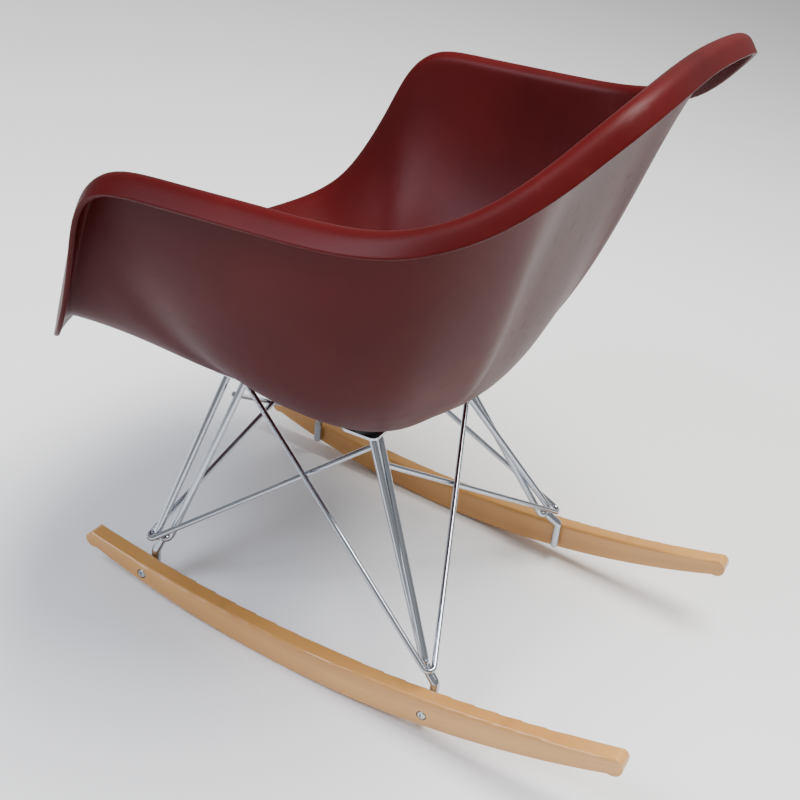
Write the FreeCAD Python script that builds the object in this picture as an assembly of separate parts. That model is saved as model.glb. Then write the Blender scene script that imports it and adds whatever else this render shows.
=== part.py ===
import FreeCAD, Part
import math
import os

V = FreeCAD.Vector

# Rocking armchair: moulded shell on a wire base with two wooden rockers.
# Millimetres, +Z up, the sitter faces -Y, the sitter's left side is +X.
# Everything is drawn with the rockers' arc resting at the origin, then rolled to its balance.

# Rockers
rocker_gauge = 392.0          # over the outer faces
rocker_width = 20.5
rocker_height = 35.6          # at the middle
rocker_front = -309.0
rocker_rear = 306.0
sole_radius = 960.0
crown_radius = 1410.0
crown_shift = -6.0            # the deepest section sits a little ahead of the contact
rocker_edge = 3.0

# Rocker bolts and the posts they hold
bolt_y = {"front": -242.5, "rear": 106.7}
bolt_rise = {"front": 11.5, "rear": 14.0}     # bolt axis above the sole
bolt_shank = 3.0
bolt_hole_clear = 0.1
bolt_head = 5.0
bolt_head_depth = 3.2
counterbore_clear = 0.5
counterbore_depth = 3.6
washer_radius = 5.2
washer_thick = 1.0
post_radius = 5.0
post_lift = 6.0               # post foot reaches this far below the bolt axis
post_lean = 31.0              # the leg's foot lies this far inside the rocker's outer face

# Wire base
leg_wire = 4.0                # radius of the leg wire
cross_wire = 3.1              # radius of the crossed bracing wire
leg_bend = 7.5
cross_bend = 7.0
joint = {
    "front": V(rocker_gauge / 2 - post_lean, -239, 73),
    "rear": V(rocker_gauge / 2 - post_lean, 91, 56),
}
mount_at = {"front": V(93, -196, 0), "rear": V(89, -44, 0)}       # seen from above
leg_offset = {"front": V(0, 0, 0), "rear": V(3, 15, 0)}           # leg ends from the mount's middle
leg_top_spread = {"front": V(0, 11, 0), "rear": V(8, 1, 0)}       # half the way between the two strands
brace_at = {"front": 0.05, "rear": 0.02, "across": 0.13}   # where braces land along the leg
brace_pass = 4.6              # how far a brace lands beside the leg, so that crossing braces only touch

# Mounts under the shell
plate_thick = 3.0
plate_size = {"front": V(36, 46, 0), "rear": V(31, 42, 0)}
cushion_radius = 15.0
cushion_least = 6.2           # at its thinnest, where the shell comes lowest
screw_shank = 3.0
screw_head = 5.5
screw_head_depth = 3.4
insert_radius = 5.5
insert_depth = 4.4
insert_collar = 1.2

# Shell
shell_thick = 5.0
bowl_low = V(0, -62, 257)
patches_round = 4             # the shell's skin is made of smooth patches that share edges
patches_across = 2
shell_reach = 330.0           # height below which only the bowl's floor lies over the mounts
lip_round = 0.86              # how far the rolled edge's rim is drawn round

# Rim stations of half the shell, front centre to top centre:
# point where the edge starts to roll, direction back down the wall, wall handle,
# bowl handle, roll radius, roll angle, flat lip after the roll
rim_stations = [
    (V(0, -348, 336), V(0, 0.97, -0.22), 110, 120, 22, 80, 8),
    (V(80, -345, 336), V(-0.08, 0.97, -0.22), 108, 122, 22, 80, 8),
    (V(150, -332, 338), V(-0.28, 0.93, -0.22), 100, 128, 20, 82, 9),
    (V(207, -308, 347), V(-0.64, 0.70, -0.30), 92, 140, 17, 88, 10),
    (V(243, -286, 368), V(-0.80, 0.38, -0.46), 95, 150, 15, 96, 11),
    (V(264, -266, 405), V(-0.66, 0.28, -0.70), 108, 160, 13, 104, 12),
    (V(277, -245, 455), V(-0.42, 0.22, -0.88), 122, 170, 12, 114, 12),
    (V(284, -224, 507), V(-0.24, 0.14, -0.96), 142, 178, 12, 122, 12),
    (V(286, -190, 534), V(-0.15, 0.05, -0.99), 155, 185, 13, 128, 13),
    (V(286, -130, 538), V(-0.11, 0.00, -0.99), 170, 190, 13, 130, 13),
    (V(286, -55, 541), V(-0.11, 0.00, -0.99), 178, 192, 13, 130, 13),
    (V(286, 18, 545), V(-0.16, -0.02, -0.99), 182, 192, 13, 128, 13),
    (V(278, 70, 556), V(-0.34, 0.00, -0.94), 180, 190, 13, 124, 12),
    (V(253, 112, 578), V(-0.58, -0.05, -0.81), 172, 192, 12, 117, 11),
    (V(223, 143, 608), V(-0.59, -0.20, -0.78), 170, 202, 12, 112, 11),
    (V(196, 165, 637), V(-0.48, -0.42, -0.77), 175, 212, 12, 108, 11),
    (V(168, 183, 661), V(-0.31, -0.59, -0.75), 186, 222, 12, 104, 11),
    (V(118, 190, 673), V(-0.14, -0.68, -0.72), 191, 227, 12, 102, 11),
    (V(60, 190, 677), V(-0.05, -0.70, -0.72), 192, 228, 12, 102, 11),
    (V(0, 189, 678), V(0, -0.70, -0.72), 192, 228, 12, 102, 11),
]
wall_steps = [0.0, 0.07, 0.15, 0.24, 0.34, 0.44, 0.54, 0.64, 0.74, 0.83, 0.91, 0.97]
roll_steps = [0.0, 0.2, 0.4, 0.6, 0.8, 1.0]

# Densities in g/mm3, used to find the balance of the whole chair
density = {"shell": 1.05e-3, "wood": 0.65e-3, "steel": 7.85e-3, "rubber": 1.15e-3}


def unit(v):
    return V(v).normalize()


def cylinder(radius, start, end):
    return Part.makeCylinder(radius, (end - start).Length, start, end - start)


def mirrored(shape):
    return shape.mirror(V(0, 0, 0), V(1, 0, 0))


# Sweeps a round wire along straight runs joined by tangent bends
def bent_wire(points, radius, bend):
    edges = []
    start = points[0]
    for before, corner, after in zip(points, points[1:], points[2:]):
        back = unit(before - corner)
        ahead = unit(after - corner)
        half = back.getAngle(ahead) / 2
        reach = bend / math.tan(half)
        bisector = unit(back + ahead)
        middle = corner + bisector * (bend / math.sin(half) - bend)
        edges.append(Part.makeLine(start, corner + back * reach))
        edges.append(Part.Arc(corner + back * reach, middle, corner + ahead * reach).toShape())
        start = corner + ahead * reach
    edges.append(Part.makeLine(start, points[-1]))
    path = Part.Wire(edges)
    section = Part.Wire(Part.makeCircle(radius, points[0], points[1] - points[0]))
    return path.makePipeShell([section], True, False)


# Rocker, drawn as its side outline and given its width
def sole_z(y):
    return sole_radius - math.sqrt(sole_radius ** 2 - y ** 2)


def crown_z(y):
    drop = math.sqrt(crown_radius ** 2 - (y - crown_shift) ** 2)
    return rocker_height + crown_radius - drop


def make_rocker():
    inner_x = rocker_gauge / 2 - rocker_width

    def at(y, z):
        return V(inner_x, y, z)

    def tip(y, outward):
        low = at(y, sole_z(y))
        high = at(y, crown_z(y))
        bulge = at(y + outward * (high.z - low.z) * 0.5, (low.z + high.z) / 2)
        return low, bulge, high

    front_low, front_bulge, front_high = tip(rocker_front, -1)
    rear_low, rear_bulge, rear_high = tip(rocker_rear, 1)
    outline = Part.Wire([
        Part.Arc(front_low, at(0, 0), rear_low).toShape(),
        Part.Arc(rear_low, rear_bulge, rear_high).toShape(),
        Part.Arc(rear_high, at(crown_shift, crown_z(crown_shift)), front_high).toShape(),
        Part.Arc(front_high, front_bulge, front_low).toShape(),
    ])
    bar = Part.Face(outline).extrude(V(rocker_width, 0, 0))
    long_edges = [e for e in bar.Edges if e.Length > 300]
    bar = bar.makeFillet(rocker_edge, long_edges)
    for end in bolt_y:
        axis = bolt_centre(end)
        hole = cylinder(bolt_shank + bolt_hole_clear, axis - V(50, 0, 0), axis + V(50, 0, 0))
        face = V(rocker_gauge / 2, axis.y, axis.z)
        seat = cylinder(washer_radius + counterbore_clear, face - V(counterbore_depth, 0, 0), face + V(9, 0, 0))
        bar = bar.cut(hole).cut(seat)
    return bar


def bolt_centre(end):
    y = bolt_y[end]
    return V(rocker_gauge / 2 - rocker_width, y, sole_z(y) + bolt_rise[end])


# Bolt with a domed head, sitting on its washer in the rocker's recess
def make_rocker_bolt(end):
    axis = bolt_centre(end)
    seat_x = rocker_gauge / 2 - counterbore_depth
    head_start = V(seat_x + washer_thick, axis.y, axis.z)
    tip = V(axis.x - 2 * post_radius + 1.5, axis.y, axis.z)
    head = cylinder(bolt_head, head_start, head_start + V(bolt_head_depth, 0, 0))
    rim = [e for e in head.Edges if e.CenterOfMass.x > head_start.x + bolt_head_depth - 0.1]
    head = head.makeFillet(bolt_head_depth * 0.6, rim[:1])
    socket = Part.Wire(Part.makePolygon([
        head_start + V(bolt_head_depth, 2.3 * math.cos(k * math.pi / 3), 2.3 * math.sin(k * math.pi / 3))
        for k in range(7)
    ]))
    recess = Part.Face(socket).extrude(V(-1.8, 0, 0))
    return head.cut(recess).fuse(cylinder(bolt_shank, tip, head_start)).removeSplitter()


def make_rocker_washer(end):
    axis = bolt_centre(end)
    seat = V(rocker_gauge / 2 - counterbore_depth, axis.y, axis.z)
    outer = cylinder(washer_radius, seat, seat + V(washer_thick, 0, 0))
    return outer.cut(cylinder(bolt_shank + bolt_hole_clear, seat - V(1, 0, 0), seat + V(9, 0, 0)))


# Post from the leg's bend down beside the rocker, flattened where the bolt clamps it
def make_post(end, leg):
    axis = bolt_centre(end)
    foot = V(axis.x - post_radius, axis.y, axis.z)
    low = foot - V(0, 0, post_lift)
    knee = V(foot.x, foot.y, crown_z(foot.y) + 4)
    post = bent_wire([low, knee, joint[end]], post_radius, 6.0)
    post = post.fuse(Part.makeSphere(post_radius, low)).removeSplitter()
    hole = cylinder(bolt_shank, axis - V(2 * post_radius - 1.5, 0, 0), axis + V(5, 0, 0))
    beyond = Part.makeBox(40, 80, 400, V(axis.x, axis.y - 40, axis.z - 100))
    return post.cut(hole).cut(beyond).cut(leg)


# Leg: one wire with a tight turn at the bottom and both ends under the mount plate
def leg_points(end):
    foot = joint[end]
    top = leg_top[end] + leg_offset[end] - V(0, 0, plate_thick)
    outward = unit(V(foot.x, foot.y + 60, 0))
    turn = outward * (leg_bend * 1.12)
    spread = leg_top_spread[end]
    return [top + spread, foot - turn, foot + turn, top - spread]


def make_leg(end):
    points = leg_points(end)
    first = points[0] + unit(points[0] - points[1]) * 12
    last = points[3] + unit(points[3] - points[2]) * 12
    leg = bent_wire([first, points[1], points[2], last], leg_wire, leg_bend)
    above = Part.makeBox(400, 800, 100, V(0, -400, leg_top[end].z - plate_thick))
    return leg.cut(above)


def along_leg(end, part, strand):
    points = leg_points(end)
    pair = (points[0], points[1]) if strand == "inner" else (points[3], points[2])
    return pair[0] + (pair[1] - pair[0]) * part


# Brace: one wire wrapped round a leg's foot, rising to the next leg on each side.
# weave is 1 or -1: the braces of a crossing pair pass on opposite sides of each other.
def make_cross_wire(end, weave, cutters):
    other = "rear" if end == "front" else "front"
    side = along_leg(other, brace_at[end], "inner" if end == "rear" else "outer")
    across = along_leg(end, brace_at["across"], "outer" if end == "rear" else "inner")
    across.x = -across.x
    level_x = V(1, 0, 0)
    side_run = side - joint[end]
    beside = unit(level_x - side_run * (level_x.dot(side_run) / side_run.dot(side_run)))
    side = side + beside * (brace_pass if end == "rear" else -brace_pass)
    across_run = across - joint[end]
    flat = unit(V(0, across_run.z, -across_run.y))
    across = across + flat * (brace_pass * weave)
    outward = unit(V(joint[end].x, joint[end].y + 60, 0))
    centre = joint[end] + outward * (leg_bend * 1.12) + V(0, 0, leg_bend)
    bisector = unit(unit(side - centre) + unit(across - centre))
    half = unit(side - centre).getAngle(unit(across - centre)) / 2
    apex = centre - bisector * (cross_bend / math.sin(half))
    wire = bent_wire([side, apex, across], cross_wire, cross_bend)
    for cutter in cutters:
        wire = wire.cut(cutter)
    return wire


# Shell: rings of points from the bowl's lowest point over the rolled edge
def shell_column(station, tangent):
    start, wall, wall_handle, bowl_handle, radius, angle, lip = station
    wall = unit(wall)
    bearing = V(start.x, start.y - bowl_low.y, 0)
    if end_is_back(start):
        bearing = V(start.x * 0.8, start.y - bowl_low.y, 0)
    near_low = bowl_low + unit(bearing) * bowl_handle
    near_rim = start + wall * wall_handle
    points = []
    for t in wall_steps:
        a = (1 - t) ** 3
        b = 3 * t * (1 - t) ** 2
        c = 3 * t * t * (1 - t)
        points.append(bowl_low * a + near_low * b + near_rim * c + start * t ** 3)
    rise = wall * -1
    outward = unit(tangent.cross(rise))
    hub = start + outward * radius
    for step in roll_steps:
        turn = math.radians(angle) * step
        points.append(hub - outward * (radius * math.cos(turn)) + rise * (radius * math.sin(turn)))
    turn = math.radians(angle)
    run = outward * math.sin(turn) + rise * math.cos(turn)
    points.append(points[-1] + run * lip)
    return points


def end_is_back(point):
    return point.y > 60


def make_shell():
    half = []
    rim = [s[0] for s in rim_stations]
    count = len(rim)
    for i, station in enumerate(rim_stations):
        before = rim[i - 1] if i > 0 else V(-rim[1].x, rim[1].y, rim[1].z)
        after = rim[i + 1] if i < count - 1 else V(-rim[-2].x, rim[-2].y, rim[-2].z)
        half.append(shell_column(station, unit(after - before)))
    other = [[V(-p.x, p.y, p.z) for p in column] for column in half[-2:0:-1]]
    top = refine(half + other)
    under = offset_net(top, shell_thick)
    columns = []
    for upper, lower in zip(top, under):
        edge = (upper[-1] + lower[-1]) * 0.5
        run = unit(upper[-1] - upper[-2]) * (shell_thick * 0.5 * lip_round)
        tip = [upper[-1] + run * 0.6, edge + run, lower[-1] + run * 0.6]
        columns.append(upper + tip + lower[::-1])
    return closed_surface(columns)


# Doubles the number of columns by passing a smooth curve through them
def refine(columns):
    result = []
    count = len(columns)
    for i in range(count):
        a = columns[i - 1]
        b = columns[i]
        c = columns[(i + 1) % count]
        d = columns[(i + 2) % count]
        result.append(b)
        result.append([(q + r) * 0.5625 - (p + s) * 0.0625 for p, q, r, s in zip(a, b, c, d)])
    return result


def offset_net(columns, distance):
    count = len(columns)
    rows = len(columns[0])
    result = []
    for i in range(count):
        column = []
        for j in range(rows):
            if j == 0:
                column.append(columns[i][0] - V(0, 0, distance))
                continue
            round_rim = columns[(i + 1) % count][j] - columns[i - 1][j]
            up_wall = columns[i][min(j + 1, rows - 1)] - columns[i][j - 1]
            column.append(columns[i][j] + unit(round_rim.cross(up_wall)) * distance)
        result.append(column)
    return result


def closed_surface(columns):
    around = len(columns)
    rows = len(columns[0])
    surface = Part.BSplineSurface()
    surface.buildFromPolesMultsKnots(
        columns,
        [1] * (around + 1),
        [4] + [1] * (rows - 4) + [4],
        [float(k) for k in range(around + 1)],
        [float(k) for k in range(rows - 2)],
        True,
        False,
        3,
        3,
    )
    surface.setUNotPeriodic()
    faces = []
    for i in range(patches_round):
        for j in range(patches_across):
            patch = surface.copy()
            patch.segment(
                around * i / patches_round,
                around * (i + 1) / patches_round,
                (rows - 3) * j / patches_across,
                (rows - 3) * (j + 1) / patches_across,
            )
            faces.append(patch.toShape())
    skin = Part.makeShell(faces)
    skin.sewShape()
    solid = Part.Solid(skin)
    if solid.Volume < 0:
        solid.reverse()
    return solid


# Mount under the shell: plate on the leg ends, rubber cushion shaped to the shell, insert, screw
def mount_height(end, shell):
    centre = mount_at[end]
    above = cylinder(cushion_radius, centre, centre + V(0, 0, shell_reach)).common(shell)
    return centre + V(0, 0, above.optimalBoundingBox().ZMin - cushion_least)


def make_plate(end):
    centre = leg_top[end]
    size = plate_size[end]
    corner = centre - V(size.x / 2, size.y / 2, plate_thick)
    plate = Part.makeBox(size.x, size.y, plate_thick, corner)
    upright = [e for e in plate.Edges if abs(e.tangentAt(e.FirstParameter).z) > 0.9]
    plate = plate.makeFillet(7, upright)
    hole = cylinder(screw_shank + 0.1, centre - V(0, 0, 9), centre + V(0, 0, 9))
    return plate.cut(hole)


def make_cushion(end, shell):
    centre = leg_top[end]
    block = cylinder(cushion_radius, centre, centre + V(0, 0, 45)).cut(shell)
    cushion = min(block.Solids, key=lambda s: s.CenterOfMass.z)
    return cushion.cut(cylinder(insert_radius, centre - V(0, 0, 1), centre + V(0, 0, insert_depth)))


def make_insert(end):
    centre = leg_top[end]
    body = cylinder(insert_radius, centre, centre + V(0, 0, insert_depth))
    return body.cut(cylinder(screw_shank, centre - V(0, 0, 1), centre + V(0, 0, insert_depth - insert_collar)))


def make_screw(end):
    under = leg_top[end] - V(0, 0, plate_thick)
    head = cylinder(screw_head, under - V(0, 0, screw_head_depth), under)
    rim = [e for e in head.Edges if e.CenterOfMass.z < under.z - screw_head_depth + 0.1]
    head = head.makeFillet(screw_head_depth * 0.55, rim[:1])
    slot = Part.makeBox(6.4, 1.4, 1.7, V(under.x - 3.2, under.y - 0.7, under.z - screw_head_depth))
    cross = Part.makeBox(1.4, 6.4, 1.7, V(under.x - 0.7, under.y - 3.2, under.z - screw_head_depth))
    tip = leg_top[end] + V(0, 0, insert_depth - insert_collar)
    shank = cylinder(screw_shank, under, tip)
    return head.cut(slot).cut(cross).fuse(shank).removeSplitter()


parts = {}
kinds = {}


def keep(name, shape, kind):
    parts[name] = shape
    kinds[name] = kind


shell = make_shell()
keep("seat_shell", shell, "shell")
leg_top = {end: mount_height(end, shell) for end in mount_at}

rocker = make_rocker()
keep("rocker_left", rocker, "wood")
keep("rocker_right", mirrored(rocker), "wood")

legs = {end: make_leg(end) for end in joint}
cutters = [legs["front"], legs["rear"], mirrored(legs["front"]), mirrored(legs["rear"])]
bolts = []
washers = []
screws = []
inserts = []
for end in joint:
    leg = legs[end]
    braces = {
        "left": make_cross_wire(end, 1, cutters),
        "right": mirrored(make_cross_wire(end, -1, cutters)),
    }
    post = make_post(end, leg)
    for side, brace in braces.items():
        keep("cross_wire_" + end + "_" + side, brace, "steel")
        post = post.cut(brace if side == "left" else mirrored(brace))
    pieces = {
        "leg_wire_" + end: (leg, "steel"),
        "post_" + end: (post, "steel"),
        "mount_plate_" + end: (make_plate(end), "steel"),
        "cushion_" + end: (make_cushion(end, shell), "rubber"),
    }
    for name, (shape, kind) in pieces.items():
        keep(name + "_left", shape, kind)
        keep(name + "_right", mirrored(shape), kind)
    for group, shape in (
        (bolts, make_rocker_bolt(end)),
        (washers, make_rocker_washer(end)),
        (screws, make_screw(end)),
        (inserts, make_insert(end)),
    ):
        group.append(shape)
        group.append(mirrored(shape))
keep("rocker_bolts", Part.makeCompound(bolts), "steel")
keep("rocker_washers", Part.makeCompound(washers), "steel")
keep("mount_screws", Part.makeCompound(screws), "steel")
keep("cushion_inserts", Part.makeCompound(inserts), "steel")


# Rolls the chair on its rockers until its weight hangs over the contact line
def balance_angle():
    mass = 0.0
    moment = V(0, 0, 0)
    for name, shape in parts.items():
        for solid in shape.Solids:
            weight = solid.Volume * density[kinds[name]]
            mass += weight
            moment += solid.CenterOfMass * weight
    centre = moment * (1 / mass)
    print("mass kg", round(mass / 1000, 2), "balance point", centre)
    return math.degrees(math.atan2(centre.y, sole_radius - centre.z))


roll = balance_angle()
print("rolled by degrees", round(-roll, 3))
for shape in parts.values():
    shape.rotate(V(0, 0, sole_radius), V(1, 0, 0), -roll)

# The finished frame has its origin on the floor under the middle of the overall box
front_end = min(shape.optimalBoundingBox().YMin for shape in parts.values())
rear_end = max(shape.optimalBoundingBox().YMax for shape in parts.values())
os.makedirs("parts", exist_ok=True)
for name, shape in parts.items():
    shape.translate(V(0, -(front_end + rear_end) / 2, 0))
    shape.exportStep("parts/" + name + ".step")
    print(name, len(shape.Solids), round(shape.Volume), shape.isValid())
box = Part.makeCompound(list(parts.values())).optimalBoundingBox()
print("overall", round(box.XLength, 1), round(box.YLength, 1), round(box.ZLength, 1), "floor", round(box.ZMin, 3))
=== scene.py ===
import math

import bpy
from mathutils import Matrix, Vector

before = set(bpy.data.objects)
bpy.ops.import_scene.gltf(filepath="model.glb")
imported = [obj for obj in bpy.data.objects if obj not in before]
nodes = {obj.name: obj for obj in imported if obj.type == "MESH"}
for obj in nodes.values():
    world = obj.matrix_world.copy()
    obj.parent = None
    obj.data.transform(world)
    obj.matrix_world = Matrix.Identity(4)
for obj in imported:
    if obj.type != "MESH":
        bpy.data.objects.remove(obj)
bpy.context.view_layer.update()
print("frame loaded", len(nodes), "nodes")


class Sock:  # a socket that can be added, multiplied and so on
    def __init__(self, graph, socket):
        self.graph = graph
        self.socket = socket

    def maths(self, operation, a, b=None):
        values = [a] if b is None else [a, b]
        settings = {"operation": operation}
        return self.graph.node("ShaderNodeMath", settings, dict(enumerate(values)))

    def __add__(self, other):
        return self.maths("ADD", self, other)

    def __radd__(self, other):
        return self.maths("ADD", other, self)

    def __sub__(self, other):
        return self.maths("SUBTRACT", self, other)

    def __rsub__(self, other):
        return self.maths("SUBTRACT", other, self)

    def __mul__(self, other):
        return self.maths("MULTIPLY", self, other)

    def __rmul__(self, other):
        return self.maths("MULTIPLY", other, self)

    def absolute(self):
        return self.maths("ABSOLUTE", self)

    def sine(self):
        return self.maths("SINE", self)

    def clamped(self):
        return self.graph.node("ShaderNodeClamp", {}, {"Value": self})

    def ramp(self, low, high, start=0.0, end=1.0):
        values = {"Value": self, "From Min": low, "From Max": high, "To Min": start, "To Max": end}
        return self.graph.node("ShaderNodeMapRange", {"interpolation_type": "SMOOTHSTEP"}, values)


class Graph:
    def __init__(self, name):
        self.material = bpy.data.materials.new(name)
        self.material.use_nodes = True
        self.tree = self.material.node_tree
        self.shader = self.tree.nodes["Principled BSDF"]

    def connect(self, value, target):
        if isinstance(value, Sock):
            self.tree.links.new(value.socket, target)
        elif isinstance(value, tuple) and len(target.default_value) == 4:
            target.default_value = (*value, 1.0)
        else:
            target.default_value = value

    def node(self, kind, settings, values, output=0):
        made = self.tree.nodes.new(kind)
        for key, value in settings.items():
            setattr(made, key, value)
        for key, value in values.items():
            self.connect(value, made.inputs[key])
        return Sock(self, made.outputs[output])

    def point(self):
        return self.node("ShaderNodeTexCoord", {}, {}, "Object")

    def axes(self, vector):
        made = self.node("ShaderNodeSeparateXYZ", {}, {0: vector}).socket.node
        return [Sock(self, made.outputs[i]) for i in range(3)]

    def vector(self, x, y, z):
        return self.node("ShaderNodeCombineXYZ", {}, {0: x, 1: y, 2: z})

    def noise(self, vector, scale, detail=3.0, rough=0.5):
        values = {"Vector": vector, "Scale": scale, "Detail": detail, "Roughness": rough}
        return self.node("ShaderNodeTexNoise", {}, values)

    def blend(self, factor, first, second):
        made = self.tree.nodes.new("ShaderNodeMix")
        made.data_type = "RGBA"
        self.connect(factor, made.inputs[0])
        self.connect(first, made.inputs[6])
        self.connect(second, made.inputs[7])
        return Sock(self, made.outputs[2])

    def edge(self, radius):
        bevel = self.node("ShaderNodeBevel", {"samples": 6}, {"Radius": radius})
        normal = self.node("ShaderNodeNewGeometry", {}, {}, "Normal")
        settings = {"operation": "DOT_PRODUCT"}
        dot = self.node("ShaderNodeVectorMath", settings, {0: bevel, 1: normal}, "Value")
        return dot.ramp(0.995, 0.90)

    def bump(self, height, strength, distance):
        values = {"Height": height, "Strength": strength, "Distance": distance}
        return self.node("ShaderNodeBump", {}, values)

    def fixed(self, name, value):  # the same all over, on the shader's own socket
        self.shader.inputs[name].default_value = value

    def finish(self, **values):
        for key, value in values.items():
            self.connect(value, self.shader.inputs[key.replace("_", " ")])
        return self.material


shellLook = {  # moulded plastic, satin
    "deep": (0.046, 0.0012, 0.0016),
    "lit": (0.066, 0.0026, 0.0030),
    # lighter red painted along the rim and edges: a painted highlight
    "edgeHighlight": (0.135, 0.014, 0.013),
    "rubTint": (0.120, 0.020, 0.018),
    "edgeRadius": 0.004,
    "cloudScale": 5.0,
    "rubScale": 60.0,
    "rubFrom": (0.30, 0.62),  # height where hands and sleeves rub it
    "roughness": 0.40,
    "scuffRoughness": 0.56,
    "grainScale": 2600.0,
    "grainDepth": 0.10,
    "waveScale": 9.0,
    "coat": 0.03,
    "coatRoughness": 0.35,
    "specular": 0.11,
}


def shellMaterial(look):
    g = Graph("shell_plastic")
    p = g.point()
    z = g.axes(p)[2]
    cloud = g.noise(p, look["cloudScale"], 4.0)
    grain = g.noise(p, look["grainScale"], 2.0, 0.6)
    wave = g.noise(p, look["waveScale"], 1.0)
    rub = g.noise(p, look["rubScale"], 6.0, 0.65).ramp(0.56, 0.74)
    edge = g.edge(look["edgeRadius"])
    color = g.blend(cloud.ramp(0.35, 0.68), look["deep"], look["lit"])
    # painted highlight: the rim and edges blended toward the lighter red
    color = g.blend(edge * 0.35, color, look["edgeHighlight"])
    reached = z.ramp(*look["rubFrom"])
    color = g.blend((rub * reached * 0.10).clamped(), color, look["rubTint"])
    scuff = look["scuffRoughness"] - look["roughness"]
    rough = look["roughness"] + rub * scuff * 0.45 + grain * 0.05
    height = grain * 0.6 + wave * 0.4
    g.fixed("Coat Roughness", look["coatRoughness"])
    g.fixed("Specular IOR Level", look["specular"])
    g.fixed("Coat Weight", look["coat"])
    normal = g.bump(height, look["grainDepth"], 0.0006)
    return g.finish(Base_Color=color, Roughness=rough, Normal=normal)


woodLook = {  # lacquered, bent from layers
    "pale": (0.60, 0.305, 0.088),
    "dark": (0.44, 0.195, 0.046),
    "pore": (0.25, 0.095, 0.026),
    # lighter orange painted on the bar's edges: a painted highlight
    "edgeHighlight": (0.70, 0.40, 0.15),
    "edgeRadius": 0.003,
    "contact": -0.032,  # where the bar is lowest
    "bend": 0.52,  # half of one over the sole's radius
    "ringScale": 34.0,
    "stretch": 0.045,
    "roughness": 0.36,
    "poreScale": (900.0, 16.0),
    "glueRate": 200.0,
    "wearScale": 45.0,
    "coat": 0.35,
    "coatRoughness": 0.22,
}


def woodMaterial(look):
    g = Graph("rocker_wood")
    x, y, z = g.axes(g.point())
    behind = y - look["contact"]
    bent = z - behind * behind * look["bend"]  # the grain follows the bent bar
    along = g.vector(x * 8.0, y * look["stretch"] * 8.0, bent * 8.0)
    drift = g.noise(along, 3.0, 4.0, 0.55)
    rings = (bent * look["ringScale"] * 6.0 + x * 22.0 + drift * 7.0).sine() * 0.5 + 0.5
    fine, long = look["poreScale"]
    pores = g.noise(g.vector(x * fine, y * long, bent * fine), 1.0, 3.0, 0.7).ramp(0.60, 0.78)
    cloud = g.noise(g.vector(x * 6.0, y * 5.0, bent * 9.0), 2.0, 3.0)
    glue = (bent * look["glueRate"]).sine().absolute().ramp(0.10, 0.0)  # joints of the layers
    edge = g.edge(look["edgeRadius"])
    shade = rings * 0.42 + cloud.ramp(0.3, 0.7) * 0.30
    color = g.blend(shade, look["pale"], look["dark"])
    color = g.blend((pores * 0.42).clamped(), color, look["pore"])
    color = g.blend(glue * 0.20, color, look["pore"])
    # painted highlight: edges blended toward the lighter orange
    color = g.blend(edge * 0.30, color, look["edgeHighlight"])
    wear = g.noise(g.point(), look["wearScale"], 5.0, 0.6).ramp(0.52, 0.72)
    rough = look["roughness"] + wear * 0.14 + pores * 0.12
    height = rings * 0.20 - pores * 0.60 - glue * 0.15
    g.fixed("Coat Weight", look["coat"])
    g.fixed("Coat Roughness", look["coatRoughness"])
    return g.finish(Base_Color=color, Roughness=rough, Normal=g.bump(height, 0.22, 0.0005))


steelLook = {  # plated wire
    "tint": (0.47, 0.50, 0.55),
    "dull": (0.25, 0.26, 0.28),
    "roughness": 0.15,
    "wornRoughness": 0.30,
    "scratchScale": 900.0,
    # light silver painted on edges: a painted highlight
    "edgeHighlight": (0.62, 0.64, 0.66),
}
fastenerLook = {
    "tint": (0.44, 0.45, 0.47),
    "dull": (0.24, 0.24, 0.25),
    "roughness": 0.28,
    "wornRoughness": 0.46,
    "scratchScale": 1600.0,
    # light silver painted on edges: a painted highlight
    "edgeHighlight": (0.62, 0.64, 0.66),
}
brassLook = {
    "tint": (0.60, 0.43, 0.17),
    "dull": (0.34, 0.23, 0.09),
    "roughness": 0.24,
    "wornRoughness": 0.42,
    "scratchScale": 1400.0,
    # light silver painted on edges: a painted highlight
    "edgeHighlight": (0.62, 0.64, 0.66),
}


def metalMaterial(name, look):
    g = Graph(name)
    p = g.point()
    x, y, z = g.axes(p)
    cloud = g.noise(p, 28.0, 5.0, 0.6)
    scratch = g.noise(g.vector(x, y, z * 0.12), look["scratchScale"], 2.0, 0.6)
    spots = g.noise(p, 420.0, 4.0, 0.7).ramp(0.66, 0.80)
    edge = g.edge(0.0012)
    worn = cloud.ramp(0.50, 0.74)
    color = g.blend((worn * 0.30 + spots * 0.35).clamped(), look["tint"], look["dull"])
    # painted highlight: edges blended toward the light silver
    color = g.blend(edge * 0.3, color, look["edgeHighlight"])
    wear = worn * (look["wornRoughness"] - look["roughness"]) * 0.5
    rough = look["roughness"] + wear + spots * 0.18 + scratch * 0.05
    metal = 1.0 - spots * 0.15
    normal = g.bump(scratch * 0.5 + spots * 0.5, 0.05, 0.0002)
    return g.finish(Base_Color=color, Roughness=rough, Metallic=metal, Normal=normal)


rubberLook = {
    "tint": (0.018, 0.018, 0.020),
    # lighter grey for dust; it is also painted on the edges as a painted highlight
    "dust": (0.060, 0.058, 0.056),
    "roughness": 0.72,
    "grainScale": 1500.0,
    "dustScale": 70.0,
    "edgeRadius": 0.0015,
}


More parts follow.
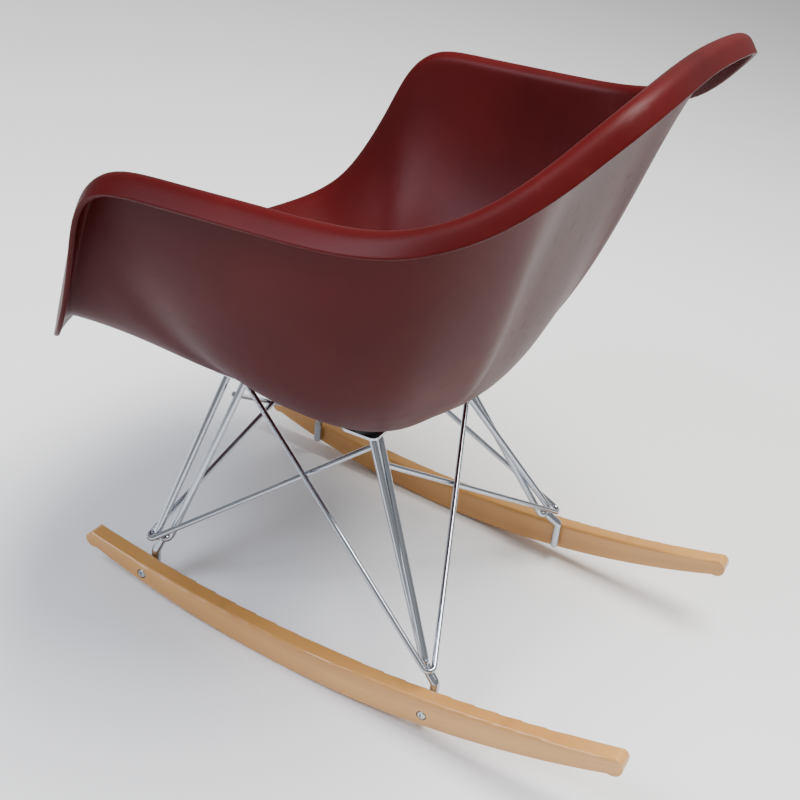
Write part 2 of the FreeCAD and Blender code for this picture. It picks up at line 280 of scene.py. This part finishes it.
def rubberMaterial(look):
    g = Graph("cushion_rubber")
    p = g.point()
    grain = g.noise(p, look["grainScale"], 4.0, 0.7)
    dust = g.noise(p, look["dustScale"], 5.0, 0.6).ramp(0.50, 0.72)
    edge = g.edge(look["edgeRadius"])
    # dusty spots, and the edges as a painted highlight, blended toward the lighter grey
    color = g.blend((dust * 0.5 + edge * 0.25).clamped(), look["tint"], look["dust"])
    rough = look["roughness"] + dust * 0.12 + grain * 0.06
    normal = g.bump(grain, 0.25, 0.0003)
    return g.finish(Base_Color=color, Roughness=rough, Normal=normal)


def assign(material, prefixes):
    for name, thing in nodes.items():
        if name.startswith(prefixes):
            for slot in thing.material_slots:
                slot.material = material


assign(shellMaterial(shellLook), ("seat_shell",))
assign(woodMaterial(woodLook), ("rocker_left", "rocker_right"))
assign(metalMaterial("wire_plated", steelLook), ("leg_wire", "cross_wire", "post", "mount_plate"))
fastenerPieces = ("rocker_bolts", "rocker_washers", "mount_screws")
assign(metalMaterial("fastener_steel", fastenerLook), fastenerPieces)
assign(metalMaterial("insert_brass", brassLook), ("cushion_inserts",))
assign(rubberMaterial(rubberLook), ("cushion_front", "cushion_rear"))
print("materials assigned")


floorLook = {"color": (0.92, 0.92, 0.92), "reach": 6.0, "roughness": 0.62}


def makeFloor(look):
    reach = look["reach"]
    mesh = bpy.data.meshes.new("floor")
    corners = [(-reach, -reach, 0), (reach, -reach, 0), (reach, reach, 0), (-reach, reach, 0)]
    mesh.from_pydata(corners, [], [(0, 1, 2, 3)])
    floor = bpy.data.objects.new("floor", mesh)
    bpy.context.collection.objects.link(floor)
    g = Graph("floor_paint")
    cloud = g.noise(g.point(), 3.0, 3.0)
    shade = tuple(c * 0.97 for c in look["color"])
    rough = look["roughness"] + cloud * 0.08
    color = g.blend(cloud, look["color"], shade)
    mesh.materials.append(g.finish(Base_Color=color, Roughness=rough))


lightLook = {  # place, size, power, color
    "key": ((-0.3, 0.5, 2.8), (1.8, 1.8), 165.0, (1.0, 0.98, 0.95)),
    "window": ((1.7, -1.0, 2.2), (1.1, 1.1), 62.0, (0.78, 0.85, 1.0)),
    "fill": ((2.4, 1.2, 1.3), (2.0, 1.6), 1.5, (1.0, 0.97, 0.94)),
}
aimPoint = Vector((0.0, 0.0, 0.3))  # the middle of the seat
worldStrength = 0.36


def makeLight(name, place, size, power, color):
    data = bpy.data.lights.new(name, "AREA")
    data.shape = "RECTANGLE"
    data.size, data.size_y = size
    data.energy = power
    data.color = color
    light = bpy.data.objects.new(name, data)
    bpy.context.collection.objects.link(light)
    light.location = place
    aim = aimPoint - light.location
    light.rotation_euler = aim.to_track_quat("-Z", "Y").to_euler()


makeFloor(floorLook)
for name, values in lightLook.items():
    makeLight(name, *values)
print("floor and lights placed")

world = bpy.context.scene.world or bpy.data.worlds.new("world")
bpy.context.scene.world = world
world.use_nodes = True
backdrop = world.node_tree.nodes["Background"]
backdrop.inputs["Color"].default_value = (1.0, 1.0, 1.0, 1.0)
backdrop.inputs["Strength"].default_value = worldStrength

cameraLook = {
    "place": (1.05895, 0.41401, 0.94037),
    "turn": (58.572, -11.5247, 116.0173),  # degrees
    "lens": 55.2,
    "shiftX": -0.08,
    "shiftY": 0.0,
}
lens = bpy.data.cameras.new("camera")
lens.sensor_width = 36.0
lens.lens = cameraLook["lens"]
lens.shift_x = cameraLook["shiftX"]
lens.shift_y = cameraLook["shiftY"]
camera = bpy.data.objects.new("camera", lens)
bpy.context.collection.objects.link(camera)
camera.location = cameraLook["place"]
camera.rotation_euler = [math.radians(a) for a in cameraLook["turn"]]
bpy.context.scene.camera = camera
print("camera placed")
